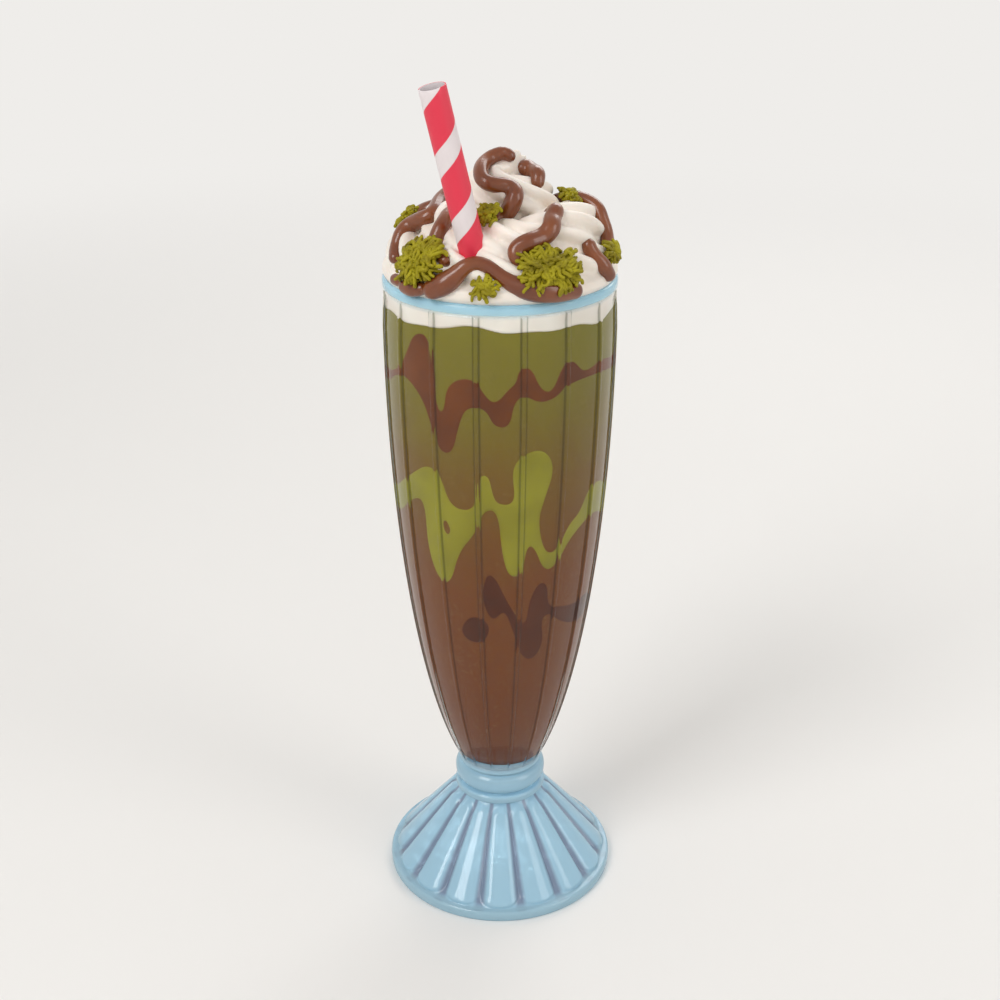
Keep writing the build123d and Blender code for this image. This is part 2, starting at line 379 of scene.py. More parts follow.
def acrossPanel(angles):  # 0 on a rib, 0.5 in the middle of a panel
    share = ((np.asarray(angles, float) + pi / 2) * glass["flutes"] / (2 * pi) - 0.5) % 1.0
    return np.minimum(share, 1 - share)


def ribShape(angles):
    half = glass["ribShare"] / 2
    return 1 - smoothStep(0.55 * half, half, acrossPanel(angles))


def innerWall(angles, z):  # the inside of the bowl, with the ribs' inner sides
    radius = cavityRadius(z)
    floorZ = glass["cavityFloor"]
    fade = smoothStep(floorZ + 3, floorZ + 14, z) * (1 - smoothStep(208, 216, z))
    shrink = 0.3 + 0.7 * radius / glass["cavityRadius"]
    return radius - glass["ribInside"] * shrink * fade * ribShape(angles)


def ringProfile(radius, bottom, top, rounding, inner):  # the outside of one rounded ring
    points = [(inner, bottom)]
    for middle, first in ((bottom + rounding, -90), (top - rounding, 0)):
        for step in range(9):
            turn = radians(first + 90 * step / 8)
            points.append((radius - rounding + rounding * cos(turn), middle + rounding * sin(turn)))
    points.append((inner, top))
    return points


def makeGlass():
    angles = panelColumns()
    across = acrossPanel(angles)
    half = glass["ribShare"] / 2
    panel = np.clip((0.5 - across) / (0.5 - half), 0, 1)
    ribTop = ribShape(angles)
    fluteShape = -glass["ribRise"] * (1 - ribTop) - glass["fluteDepth"] * (across > half) * (1 - panel ** 2)
    # a petal's section: 0 in the groove, 1 on its broad top
    bulge = 1 - np.abs(1 - 2 * across) ** 3.2

    rows = []

    def addRow(radius, z, offset=0.0):
        rows.append(ringOf(radius + offset, z, angles))

    dishRadius, dishDepth = glass["dishRadius"], glass["dishDepth"]
    ball = (dishRadius ** 2 + dishDepth ** 2) / (2 * dishDepth)
    for radius in np.linspace(1.0, dishRadius - 0.4, 12):
        addRow(radius, dishDepth - ball + sqrt(ball ** 2 - radius ** 2))
    for radius, z in glass["footRing"]:
        addRow(radius, z)
    for share in [step / (glass["petalRows"] - 1) for step in range(glass["petalRows"])]:
        radius, z = domePoint(share)
        depth = glass["petalGroove"] * radius
        # the petals end in round tips, further down at their edges
        tip = 0.955 - 0.08 * (1 - 2 * across) ** 2
        toe = 0.015 + 0.07 * np.abs(1 - 2 * across) ** 3
        cap = (1 - smoothStep(tip - 0.045, tip, share)) * smoothStep(toe - 0.015, toe + 0.03, share)
        addRow(radius, z, depth * (bulge * cap - 1) * min(1.0, 0.35 + 6 * share))
    for ring in glass["collar"]:
        for radius, z in ringProfile(*ring):
            addRow(radius, z)
    shoulder, drop = glass["shoulder"], glass["bowlDrop"]
    lowest = acos((shoulder - glass["bowlBottom"]) / drop)
    bowlRows = [shoulder - drop * cos(lowest + (pi / 2 - lowest) * i / 63) for i in range(64)]
    for z in bowlRows + [208, 211, 214, 215.8, 216.4]:
        radius = bowlRadius(z)
        shrink = 0.3 + 0.7 * radius / glass["bowlRadius"]
        fade = min(1.0, (z - glass["bowlBottom"]) / 6 + 0.35) * (1 - smoothStep(214.2, 216.4, z) * 0.5)
        addRow(radius, z, fluteShape * shrink * fade)
    lip, top, rounding = glass["lipRadius"], glass["height"], glass["lipRounding"]
    for radius, z in ringProfile(lip, top - glass["lipBand"], top, rounding, lip - rounding - 0.05)[:-1]:
        addRow(radius, z)
    for step in range(1, 8):
        turn = radians(90 + 90 * step / 7)
        radius = glass["cavityRadius"] + rounding + rounding * cos(turn)
        addRow(radius, top - rounding + rounding * sin(turn))
    floorZ, corner = glass["cavityFloor"], glass["floorRounding"]
    for z in np.linspace(top - rounding - 1, floorZ + corner, 60):
        addRow(0.0, z, innerWall(angles, z))
    wallFoot = float(cavityRadius(floorZ + corner))
    for step in range(1, 9):
        turn = radians(90 * step / 8)
        radius = wallFoot - corner + corner * cos(turn) - 0.5 * step / 8
        addRow(radius, floorZ + corner - corner * sin(turn))
    addRow(glass["hub"], floorZ)
    return makePiece("sodaGlass", *wrapRows(rows))


def acrossPitch(tree, split):  # 0 on a rib of the bowl or in a groove of the foot, 0.5 half way to the next
    turn = mathOf(tree, "ARCTAN2", split["Y"], split["X"])
    pitches = mathOf(tree, "MULTIPLY_ADD", turn, glass["flutes"] / (2 * pi), glass["flutes"] / 4 + 10.0)
    away = mathOf(tree, "SUBTRACT", mathOf(tree, "FRACT", pitches), 0.5)
    return mathOf(tree, "ABSOLUTE", away)


def betweenHeights(tree, height, share, fadeIn, fadeOut):  # 0 below fadeIn and above fadeOut
    low = remap(tree, height, fadeIn[0] * mm, fadeIn[1] * mm)
    high = remap(tree, height, fadeOut[0] * mm, fadeOut[1] * mm, 1.0, 0.0)
    return mathOf(tree, "MULTIPLY", share, mathOf(tree, "MULTIPLY", low, high))


def makeGlassFinish():
    material, tree, shader = newMaterial("pressedGlass")
    place = placeOf(tree)
    split = addNode(tree, "ShaderNodeSeparateXYZ", {"Vector": place}).outputs
    # the foot and the lip are milky pale blue, the bowl is nearly clear
    share = remap(tree, split["Z"], 0.0, glass["height"] * mm)
    places = [z / glass["height"] for z, code, clear in glass["tones"]]
    tone = colourRamp(tree, share, [(at, row[1]) for at, row in zip(places, glass["tones"])])
    greys = ["%02x%02x%02x" % ((round(255 * toScreen(row[2])),) * 3) for row in glass["tones"]]
    clear = colourRamp(tree, share, list(zip(places, greys)))
    # painted shade along both edges of each rib of the bowl, and in the grooves between the petals of the
    # foot
    across, half = acrossPitch(tree, split), glass["ribShare"] / 2
    # painted shade: a dark band along each side of a rib
    ribEdgeShade = colourRamp(tree, across, [(0.0, "000000"), (0.55 * half, "101010"), (0.8 * half, "ffffff"),
                                      (1.05 * half, "ffffff"), (1.5 * half, "000000")])
    ribEdgeShade = betweenHeights(tree, split["Z"], ribEdgeShade, (47, 60), (216.2, 216.8))
    # painted shade: the grooves between the petals are darkened
    grooveShade = colourRamp(tree, across, [(0.0, "ffffff"), (0.06, "ffffff"), (0.16, "000000")])
    grooveShade = betweenHeights(tree, split["Z"], grooveShade, (3.3, 4.6), (30.8, 31.6))
    tone = tinted(tree, tone, ribEdgeShade, glass["ribEdge"], "MULTIPLY")
    tone = tinted(tree, tone, grooveShade, glass["paintedGrooveShade"], "MULTIPLY")
    # pressed glass is a little wavy and not evenly smooth
    rough = remap(tree, noiseAt(tree, place, 140.0, 3.0), start=0.015, end=0.07)
    addBump(tree, shader, noiseAt(tree, place, 55.0, 2.0), 0.0002, 0.25)
    fill(tree, shader, {"Base Color": tone, "Transmission Weight": clear, "Roughness": rough, "IOR": 1.45})
    # lamps light what stands in the clear bowl, and less gets through the milky foot
    shadow = addNode(tree, "ShaderNodeLightPath").outputs["Is Shadow Ray"]
    lampTone = colourRamp(tree, share, [(0.0, glass["lampTint"]), (0.2, glass["lampTint"]),
                                        (0.22, "f4f4f4"), (1.0, "f4f4f4")])
    mixSurface(tree, shadow, shader, addNode(tree, "ShaderNodeBsdfTransparent", {"Color": lampTone}))
    return material


sodaGlass = makeGlass()
sodaGlass.data.materials.append(makeGlassFinish())
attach(sodaGlass, "root")
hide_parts("glass")
print("glass done")

# The drink: two layers that blend into each other, each just into the wall of the glass
drink = {
    "intoWall": 0.15,
    "edge": 0.3,  # how far a flat end draws in from the wall
    "rowHeight": 1.2,
    "layerHeight": 148.0,
    "top": 215.0,
    # height of each tone, from the floor of the glass up
    "tones": [(50, "743a10"), (124, "764010"), (138, "764812"), (152, "765014"), (166, "775816"),
              (180, "796618"), (192, "7b6f1a"), (214, "7d751b")],
    "sway": 5,  # how far the tones wander up and down
    "froth": "a8925c",
}


def makeDrink(name, bottom, top, roundFoot):
    angles = panelColumns()
    rows = []

    def addRow(radius, z):
        rows.append(ringOf(radius, z, angles))

    wall, edge, rise = drink["intoWall"], drink["edge"], drink["rowHeight"]
    addRow(glass["hub"], bottom)
    start = bottom
    if roundFoot:
        corner = glass["floorRounding"]
        start = bottom + corner
        foot = innerWall(angles, start) + wall
        for step in range(8, 0, -1):
            turn = radians(90 * step / 8)
            addRow(foot - corner + corner * cos(turn), start - corner * sin(turn))
    else:
        addRow(innerWall(angles, start) + wall - edge, start)
    # the rows next to the two ends are close together, so that the wall stays smooth there
    between = np.arange(start + rise, top - 0.5 * rise, rise).tolist()
    for z in [start, start + 0.1] + between + [top - 0.1, top]:
        addRow(innerWall(angles, z) + wall, z)
    addRow(innerWall(angles, top) + wall - edge, top)
    addRow(glass["hub"], top)
    return makePiece(name, *wrapRows(rows))


def makeDrinkFinish(name):
    material, tree, shader = newMaterial(name)
    place = placeOf(tree)
    height = addNode(tree, "ShaderNodeSeparateXYZ", {"Vector": place}).outputs["Z"]
    clouds = noiseAt(tree, place, 34.0, 3.0, Distortion=1.2)
    sway = remap(tree, clouds, 0.3, 0.7, -drink["sway"] * mm, drink["sway"] * mm)
    low, high = drink["tones"][0][0] * mm, drink["tones"][-1][0] * mm
    share = remap(tree, mathOf(tree, "ADD", height, sway), low, high)
    tone = colourRamp(tree, share, [((z * mm - low) / (high - low), code) for z, code in drink["tones"]])
    # fine froth against the wall
    pale = remap(tree, noiseAt(tree, place, 900.0, 2.0), 0.55, 0.8, 0.0, 0.22)
    tone = tinted(tree, tone, pale, drink["froth"])
    # it touches the glass, so only the glass shines
    fill(tree, shader, {"Base Color": tone, "Roughness": 0.6, "Specular IOR Level": 0.0,
                        "Subsurface Weight": 0.12, "Subsurface Radius": (0.004, 0.003, 0.0015),
                        "Subsurface Scale": 0.5})
    return material


chocolateShake = makeDrink("chocolateShake", glass["cavityFloor"] - 0.15, drink["layerHeight"], True)
pistachioShake = makeDrink("pistachioShake", drink["layerHeight"], drink["top"], False)
for layer, node in ((chocolateShake, "chocolate_shake"), (pistachioShake, "pistachio_shake")):
    layer.data.materials.append(makeDrinkFinish(layer.name))
    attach(layer, "root")
    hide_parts(node)
print("drink done")

# The cream: a star-shaped rope piped round in a spiral that climbs to a blunt tip
cream = {
    "voxel": 0.52,
    "turnsOut": 3.3,
    "lobes": 7,
    "lobeDepth": 0.36,
    "twistLength": 70.0,  # length of rope in which the star turns once round
    # share of the spiral, radius of the spiral, height, thickness of the rope
    "route": [(0.00, 25.9, 224.0, 9.6), (0.18, 26.1, 225.0, 9.8), (0.36, 25.2, 227.2, 9.8),
              (0.50, 20.3, 232.2, 9.4), (0.64, 13.4, 236.4, 8.7), (0.72, 9.4, 240.6, 8.2),
              (0.78, 7.2, 243.4, 8.0), (0.87, 4.6, 247.4, 7.3), (0.94, 2.8, 250.6, 6.2),
              (1.00, 3.2, 253.0, 4.4)],
    # radius and height of the heap inside the spiral, from the mouth of the glass up
    "heap": [(0.5, 214), (30, 214), (34.4, 218.4), (35.6, 220.3), (36.4, 221.6), (36.2, 223.6),
             (33.5, 225.6), (25, 229), (17, 234.5), (10, 240.5), (5, 246.5), (0.5, 248.5)],
    "steps": 560,  # along the rope
    "smoothing": 20,  # steps to each side
    "startTurn": 150.0,
    "shift": 0.9,  # how far the upper turns stand to the right
    "tipLean": 3.0,  # the tip leans to the right
    "rightLift": 4.4,  # the second turn stands higher on the right
    "edge": (211.4, 0.9),  # height where the drink starts, and how far that line waves
    "tones": ("efe4d8", "f5eee4"),
}


def makeCream():
    shares = np.linspace(0, 1, cream["steps"])
    route, reach = np.array(cream["route"]), cream["smoothing"]

    def column(index):  # one column of the route all along the rope, with its corners smoothed
        values = np.interp(shares, route[:, 0], route[:, index])
        padded = np.concatenate([np.full(reach, values[0]), values, np.full(reach, values[-1])])
        return np.convolve(padded, np.ones(2 * reach + 1) / (2 * reach + 1), "valid")

    radius, height, size = column(1), column(2), column(3)
    angle = radians(cream["startTurn"]) - shares * cream["turnsOut"] * 2 * pi
    lift = cream["rightLift"] * smoothStep(0.2, 1.0, np.cos(angle)) * smoothStep(226, 231, height)
    lift *= 1 - smoothStep(235, 241, height)
    shift = cream["shift"] * np.clip((height - 226) / 14, 0, 1)
    lean = cream["tipLean"] * smoothStep(247, 254, height)
    path = np.stack([radius * np.cos(angle) + shift + lean, radius * np.sin(angle), height + lift], axis=1)
    # the star turns as the rope runs on
    gone = np.concatenate([[0], np.cumsum(np.linalg.norm(np.diff(path, axis=0), axis=1))])
    turns = gone / cream["twistLength"] * 2 * pi
    angles, depth = np.linspace(0, 2 * pi, 48, endpoint=False), cream["lobeDepth"]
    wave = np.abs(np.sin((angles + turns[:, None]) * cream["lobes"] / 2))
    star = swept(path, size[:, None] * (1 - depth + depth * wave), (0, 0, 1.0))
    piece = makePiece("whippedCream", *together([star, wrapRows(spun(cream["heap"], 96))]))
    return melted(piece, cream["voxel"], 2)


def joinPieces(target, *others):
    for other in others:
        other.data.materials.clear()
    bpy.ops.object.select_all(action="DESELECT")
    for each in (target, *others):
        each.select_set(True)
    bpy.context.view_layer.objects.active = target
    bpy.ops.object.join()
    return target


def makeCreamSkirt():  # the cream against the glass, down to a waving line where the drink begins
    angles = np.linspace(0, 2 * pi, 480, endpoint=False)
    edge, wave = cream["edge"]
    line = edge + wave * (np.sin(3 * angles + 0.6) + 0.7 * np.sin(7 * angles + 2.0)
                          + 0.4 * np.sin(13 * angles))
    rows = []
    for z in [206.0] + np.arange(207.0, 218.8, 0.35).tolist():
        radius = innerWall(angles, z) - 1.2 + 1.6 * smoothStep(line - 0.7, line + 0.3, z)
        rows.append(ringOf(radius, z, angles))
    inner = rows[0] * (0.8, 0.8, 1)
    top = rows[-1] * (0.8, 0.8, 1) + (0, 0, 1.2)
    return makePiece("creamSkirt", *wrapRows([inner] + rows + [top]))


def makeCreamFinish():
    material, tree, shader = newMaterial("whippedCream")
    place = placeOf(tree)
    dark, light = cream["tones"]
    tone = colourRamp(tree, noiseAt(tree, place, 60.0, 2.0), [(0.3, dark), (0.7, light)])
    fill(tree, shader, {"Base Color": tone, "Roughness": 0.5, "Subsurface Weight": 0.12,
                        "Subsurface Radius": (0.004, 0.0026, 0.0018), "Subsurface Scale": 0.5})
    addBump(tree, shader, noiseAt(tree, place, 420.0, 3.0), 0.0003, 0.5)
    return material


whippedCream = joinPieces(makeCream(), makeCreamSkirt())
whippedCream.data.materials.append(makeCreamFinish())
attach(whippedCream, "root")
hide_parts("whipped_cream")
print("cream done", len(whippedCream.data.polygons), "faces")

# The straw: a paper tube wound from a strip with one broad red stripe
straw = {
    "mouth": (-18.6, -30.6, 280.5),
    "lean": (0.226, 0.118),  # to the right and back for each millimetre down
    "footHeight": 108.0,
    "radius": 4.0,
    "wall": 0.5,
    "stripePitch": 19.7,  # length of tube in which the stripe climbs once round
    "stripeStart": 0.30,
    "whiteShare": 0.35,
    "white": "e9dfe0",
    "red": "e5304a",
    "stripeEdge": 0.012,
    "insideTones": ("cfc6c8", "ddd5d6"),
}


def makeStraw():
    top = np.array(straw["mouth"])
    down = top[2] - straw["footHeight"]
    foot = top + np.array([straw["lean"][0] * down, straw["lean"][1] * down, -down])
    length = np.linalg.norm(top - foot)
    axis = (top - foot) / length
    side = np.cross(axis, (0, 1.0, 0))
    side /= np.linalg.norm(side)
    front = np.cross(side, axis)
    around, steps = 64, 90
    angles = np.linspace(0, 2 * pi, around + 1)
    outer, inner = straw["radius"], straw["radius"] - straw["wall"]
    # rows of (radius, distance from the foot): up the outside, over the rim and down the inside
    rims = [(inner + 0.1, 0.0), (outer - 0.1, 0.0)]
    rims += [(outer, d) for d in np.linspace(0.1, length - 0.1, steps)]
    rims += [(outer - 0.1, length), (inner + 0.1, length)]
    rims += [(inner, d) for d in np.linspace(length - 0.1, 0.1, steps)]
    points = [foot + axis * gone + ring * (cos(angle) * side + sin(angle) * front)
              for ring, gone in rims for angle in angles[:-1]]
    faces, corners = [], []
    for i in range(len(rims)):
        n = (i + 1) % len(rims)
        for j in range(around):
            k = (j + 1) % around
            faces.append((i * around + j, i * around + k, n * around + k, n * around + j))
            for row, col in ((i, j), (i, j + 1), (n, j + 1), (n, j)):
                corners.append((angles[col] / (2 * pi), rims[row][1] / straw["stripePitch"]))
    piece = makePiece("paperStraw", points, faces)
    outside = (steps + 3) * around  # faces up to the top rim, and after them the white inside
    piece.data.polygons.foreach_set("material_index", [int(n >= outside) for n in range(len(faces))])
    layer = piece.data.uv_layers.new(name="wound")
    layer.data.foreach_set("uv", np.array(corners, float).reshape(-1))
    return piece


def makeStrawFinish():
    material, tree, shader = newMaterial("stripedPaper")
    wound = addNode(tree, "ShaderNodeUVMap", uv_map="wound").outputs["UV"]
    split = addNode(tree, "ShaderNodeSeparateXYZ", {"Vector": wound}).outputs
    fibre = noiseAt(tree, None, 700.0, 3.0)
    bleed = mathOf(tree, "MULTIPLY_ADD", fibre, 0.02, straw["stripeStart"])
    phase = mathOf(tree, "ADD", mathOf(tree, "ADD", split["Y"], split["X"]), bleed)
    white, red, edge, share = straw["white"], straw["red"], straw["stripeEdge"], straw["whiteShare"]
    stops = [(0.0, white), (share - edge, white), (share, red), (1 - edge, red), (1.0, white)]
    stripes = colourRamp(tree, mathOf(tree, "FRACT", phase), stops)
    fill(tree, shader, {"Base Color": stripes, "Roughness": 0.5, "Coat Weight": 0.15,
                        "Coat Roughness": 0.35})
    addBump(tree, shader, fibre, 0.0001, 0.4)
    return material


def makeInnerPaper():
    material, tree, shader = newMaterial("plainPaper")
    dark, light = straw["insideTones"]
    tone = colourRamp(tree, noiseAt(tree, None, 700.0, 3.0), [(0.3, dark), (0.7, light)])
    fill(tree, shader, {"Base Color": tone, "Roughness": 0.8})
    return material


paperStraw = makeStraw()
paperStraw.data.materials.append(makeStrawFinish())
paperStraw.data.materials.append(makeInnerPaper())
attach(paperStraw, "root")
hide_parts("straw")
print("straw done")

# What is smeared inside the glass: sauce and pistachio cream, between the drink and the wall
# each loop is (bearing, height), with bearing 0 at the front and rising to the right
smears = {
    "proud": 0.22,  # how far a smear reaches into the wall past the drink
    "slope": 0.55,  # how fast it thickens inward from its outline
    "thickness": 0.9,
    "rowHeight": 0.75,
    "columns": 640,
    # each piece with its slot, its finish and two tones of it
    "pieces": [("upperSauceSmear", "chocolate_shake", "sauceOnGlass", "643008", "753b0b"),
               ("pistachioSmear", "pistachio_shake", "pistachioOnGlass", "87801a", "969022"),
               ("lowerSauceSmear", "chocolate_shake", "darkSauceOnGlass", "4a1e05", "592808")],
    "upperSauceSmear": [
        [(-78, 191), (-62, 194), (-53, 201), (-47, 208), (-38, 209), (-35, 202), (-34.5, 188),
         (-29.5, 184), (-27, 195), (-13, 198), (-6, 190.5), (-1, 190), (4, 194), (8, 196), (9, 200),
         (15, 201), (20.5, 193), (27, 192), (32, 200), (38.5, 201), (46, 195.5), (60, 198), (80, 195),
         (98, 199), (116, 206), (130, 199), (150, 190), (166, 200), (180, 207), (196, 197), (212, 188),
         (232, 201), (248, 205), (266, 193)],
        [(-78, 187), (-62, 193), (-52, 193), (-42, 188), (-37, 180), (-33, 172), (-25, 172), (-21, 182),
         (-17, 188), (-7, 188), (-3, 182), (5, 182), (7, 190), (12, 192), (20, 189), (29, 190), (36, 194),
         (60, 194), (84, 191), (100, 191), (113, 182), (121, 176), (128, 187), (156, 188), (170, 179),
         (179, 172), (188, 184), (214, 184), (234, 189), (243, 177), (252, 174), (262, 186)],
    ],
    "pistachioSmear": [
        [(-80, 150), (-54, 161), (-41, 166.5), (-33, 164), (-28, 154), (-17, 153), (-12, 157), (-12, 165),
         (-6, 166.5), (-3.5, 158), (0, 156), (6, 156), (8, 159), (6, 168), (12, 173), (23, 174),
         (30, 167), (24, 156), (21, 149), (26, 137), (35, 137), (41, 145), (50, 148), (56, 155),
         (68, 156), (86, 150), (101, 156), (112, 168), (124, 169), (132, 158), (141, 148), (153, 146),
         (163, 157), (172, 171), (184, 170), (192, 157), (202, 148), (214, 146), (224, 158), (236, 166),
         (250, 160), (262, 151)],
        [(-76, 142), (-54, 153), (-45, 153), (-46, 136), (-40, 126), (-31, 125), (-24, 138), (-13, 146),
         (-9, 154), (-1, 154), (1, 139), (5, 130), (13, 130), (15, 141), (20, 140), (26, 131), (34, 131),
         (44, 141), (64, 146), (84, 140), (98, 141), (107, 130), (117, 126), (125, 133), (134, 141),
         (158, 137), (168, 126), (178, 122), (188, 131), (202, 139), (218, 137), (228, 125), (239, 122),
         (248, 133), (264, 143)],
        [(-34, 147), (-31, 149), (-28, 145), (-31, 143)],
    ],
    "lowerSauceSmear": [
        [(-11, 123), (-8, 131), (-3, 130), (3, 122), (12, 113), (17, 111), (18, 120), (24, 127),
         (30, 125), (31, 117), (40, 115), (56, 113), (72, 114), (88, 108), (76, 104), (58, 105),
         (42, 109), (33, 114), (27, 112), (31, 102), (24, 96), (15, 98), (9, 108), (3, 118), (-4, 113),
         (-9, 117)],
        [(-27, 108), (-20, 114), (-11, 114), (-6, 110), (-11, 104), (-22, 104)],
        [(128, 118), (136, 129), (146, 127), (154, 114), (163, 112), (169, 122), (180, 124), (192, 115),
         (204, 112), (196, 107), (180, 110), (173, 98), (163, 94), (154, 103), (144, 112), (134, 110)],
        [(236, 121), (243, 128), (254, 119), (268, 114), (258, 108), (249, 99), (241, 98), (240, 110)],
        [(108, 104), (116, 109), (124, 105), (117, 100)],
    ],
}


def roundedLoop(points):  # corners cut three times; a loop right round the glass ends a turn further on
    points = np.array(points, float)
    turn = np.array([360.0 if points[-1][0] - points[0][0] > 300 else 0.0, 0.0])
    for cut in range(3):
        after = np.vstack([points[1:], points[:1] + turn])
        cuts = [0.75 * points + 0.25 * after, 0.25 * points + 0.75 * after]
        points = np.stack(cuts, axis=1).reshape(-1, 2)
    return np.vstack([points, points[:1] + turn])


def smearDepth(loops, bearings, heights):  # distance in from the nearest edge, and below 0 outside
    inside = np.zeros((len(heights), len(bearings)), bool)
    nearest = np.full(inside.shape, 9.0)
    reach = cavityRadius(heights) * pi / 180  # millimetres for each degree
    for loop in loops:
        loop = roundedLoop(loop)
        for (startB, startZ), (endB, endZ) in zip(loop, loop[1:]):
            low, high = sorted((startB, endB))
            offset = (bearings - low) % 360
            crossed = offset < high - low
            if crossed.any():
                share = (offset[crossed] + low - startB) / (endB - startB)
                inside[:, crossed] ^= heights[:, None] < startZ + share * (endZ - startZ)
            middle = (startB + endB) / 2
            away = (bearings - middle + 180) % 360 - 180
            near = np.abs(away) < 6
            dx = (away[near][None, :] + middle - startB) * reach[:, None]
            dz = heights[:, None] - startZ
            alongX, alongZ = (endB - startB) * reach[:, None], endZ - startZ
            t = np.clip((dx * alongX + dz * alongZ) / (alongX ** 2 + alongZ ** 2 + 1e-9), 0, 1)
            gap = np.hypot(dx - t * alongX, dz - t * alongZ)
            nearest[:, near] = np.minimum(nearest[:, near], gap)
    return np.where(inside, nearest, -nearest)


def makeSmear(name, loops, material):
    reach = [z for loop in loops for bearing, z in loop]
    heights = np.arange(min(reach) - 2, max(reach) + 2, smears["rowHeight"])
    bearings = np.linspace(-180, 180, smears["columns"], endpoint=False)
    angles = np.radians(bearings - 90)
    depth = smearDepth(loops, bearings, heights)
    wall = np.array([innerWall(angles, z) for z in heights]) + drink["intoWall"]
    outer = wall + np.clip(smears["slope"] * depth, -0.5, smears["proud"])
    kept = depth > -smears["thickness"]
    cells = kept & np.roll(kept, -1, axis=1)
    cells = cells[:-1] & cells[1:]
    rows, columns = depth.shape
    level = np.broadcast_to(heights[:, None], depth.shape)
    skins = [np.stack([radius * np.cos(angles), radius * np.sin(angles), level], axis=2)
             for radius in (outer, wall - smears["thickness"])]
    points = np.vstack([skin.reshape(-1, 3) for skin in skins])
    below = rows * columns
    faces = []
    for i, j in zip(*np.nonzero(cells)):
        k, beside = (j + 1) % columns, (j - 1) % columns
        a, b = int(i * columns + j), int(i * columns + k)
        c, d = b + columns, a + columns
        faces += [(a, b, c, d), (a + below, d + below, c + below, b + below)]
        if i == 0 or not cells[i - 1, j]:
            faces.append((b, a, a + below, b + below))
        if i == rows - 2 or not cells[i + 1, j]:
            faces.append((d, c, c + below, d + below))
        if not cells[i, beside]:
            faces.append((a, d, d + below, a + below))
        if not cells[i, k]:
            faces.append((c, b, b + below, c + below))
    used = sorted({n for face in faces for n in face})
    place = {old: new for new, old in enumerate(used)}
    return makePiece(name, points[used], [tuple(place[n] for n in face) for face in faces], material)


def makeSmearFinish(name, dark, light):
    material, tree, shader = newMaterial(name)
    tone = colourRamp(tree, noiseAt(tree, placeOf(tree), 70.0, 3.0), [(0.35, dark), (0.62, light)])
    fill(tree, shader, {"Base Color": tone, "Roughness": 0.55, "Specular IOR Level": 0.0})
    return material


for name, slot, finish, dark, light in smears["pieces"]:
    smear = makeSmear(name, smears[name], makeSmearFinish(finish, dark, light))
    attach(smear, "root")
print("smears done")

# The chocolate sauce over the cream: ropes with thick ends, laid on the cream and melted together
sauce = {
    "voxel": 0.45,
    "tones": ("6f3616", "80441e"),
    "middle": (0.0, 0.0, 222.0),  # bearings and rises are as seen from here
    "farOut": 70.0,  # distance from which the cream is looked for
    "noCream": 34.0,  # distance of a rope where there is no cream
    "sink": 0.45,  # part of the half width that lies in the cream
    "lift": 0.15,
    "bridging": 60,  # passes that lift a rope out of the creases
    "smoothing": 12,
    # each point is (bearing, rise, half width), with how far the rope stands clear of the cream if it does
    "ropes": [
        [(95, 85, 1.9), (105, 87, 2.1), (230, 89, 2.2), (260, 86, 2.2), (290, 82, 2.3), (315, 76, 2.4),
         (330, 69, 2.4), (345, 66, 2.4), (360, 67, 2.5), (374, 68, 2.6), (381, 64, 2.7), (376, 57, 2.8),
         (366, 54, 2.6), (356, 51, 2.2)],
        [(110, 76, 2.2, 0.2), (116, 73, 2.5, 1.1), (104, 72, 2.6, 2.3), (90, 70, 2.6, 2.1),
         (76, 68, 2.5, 0.7), (69, 66, 2.2, 0.1)],
        [(46, 43, 2.4), (40, 40, 2.6), (35, 36, 2.8), (31, 31, 2.9), (25, 28, 2.9), (18, 27, 2.9),
         (11, 25, 2.8), (8, 22, 2.6), (10, 18, 2.3)],
        [(112, 46, 2.1), (97, 39, 2.4), (88, 32, 2.3), (84, 24, 2.0), (82, 17, 2.2), (74, 12, 2.2),
         (72, 8, 1.9)],
        [(57, 19, 2.3), (57, 14, 2.3), (59, 8, 2.4), (63, 3, 2.3)],
        [(-32, 2.5, 3.1), (-27, 5, 3.5), (-22, 9, 3.0), (-18, 14, 2.3), (-12, 17, 2.2), (-5, 14.5, 2.2),
         (2, 9, 2.4), (9, 5, 3.1), (17, 3.4, 3.7), (27, 2.4, 3.5), (36, 1.2, 2.6)],
        [(-112, 56, 2.1), (-92, 48, 2.3), (-66, 42, 2.4), (-68, 35, 2.6), (-82, 28, 2.6), (-76, 20, 2.5),
         (-74, 14, 2.2), (-68, 10, 2.0)],
        [(-52, 46, 2.2), (-41, 34, 2.5), (-44, 26, 2.5), (-40, 20, 2.6), (-30, 16, 2.0)],
        [(-58, 2, 1.8), (-54, 2, 1.8)],
        [(-49, 0.5, 2.2), (-44, 0.5, 2.6), (-39, 1.5, 2.1)],
        # round the back, in the same manner
        [(160, 62, 2.2), (185, 52, 2.5), (170, 42, 2.6), (148, 36, 2.6), (150, 26, 2.5), (166, 18, 2.6),
         (160, 8, 2.3)],
        [(232, 60, 2.1), (214, 50, 2.4), (222, 38, 2.6), (240, 30, 2.5), (236, 20, 2.4), (220, 13, 2.5),
         (224, 4, 2.2)],
        [(120, 20, 2.3), (112, 12, 2.5), (118, 4, 2.4), (132, 0, 2.2)],
        [(184, 26, 2.3), (194, 16, 2.5), (190, 6, 2.4)],
    ],
}


def surfaceOf(piece):
    return BVHTree.FromPolygons([v.co.copy() for v in piece.data.vertices],
                                [tuple(p.vertices) for p in piece.data.polygons])


def roundedPath(points):  # corners cut three times over, with both ends kept
    points = np.array(points, float)
    for cut in range(3):
        cuts = [0.75 * points[:-1] + 0.25 * points[1:], 0.25 * points[:-1] + 0.75 * points[1:]]
        cuts = np.stack(cuts, axis=1).reshape(-1, points.shape[1])
        points = np.vstack([points[:1], cuts, points[-1:]])
    return points


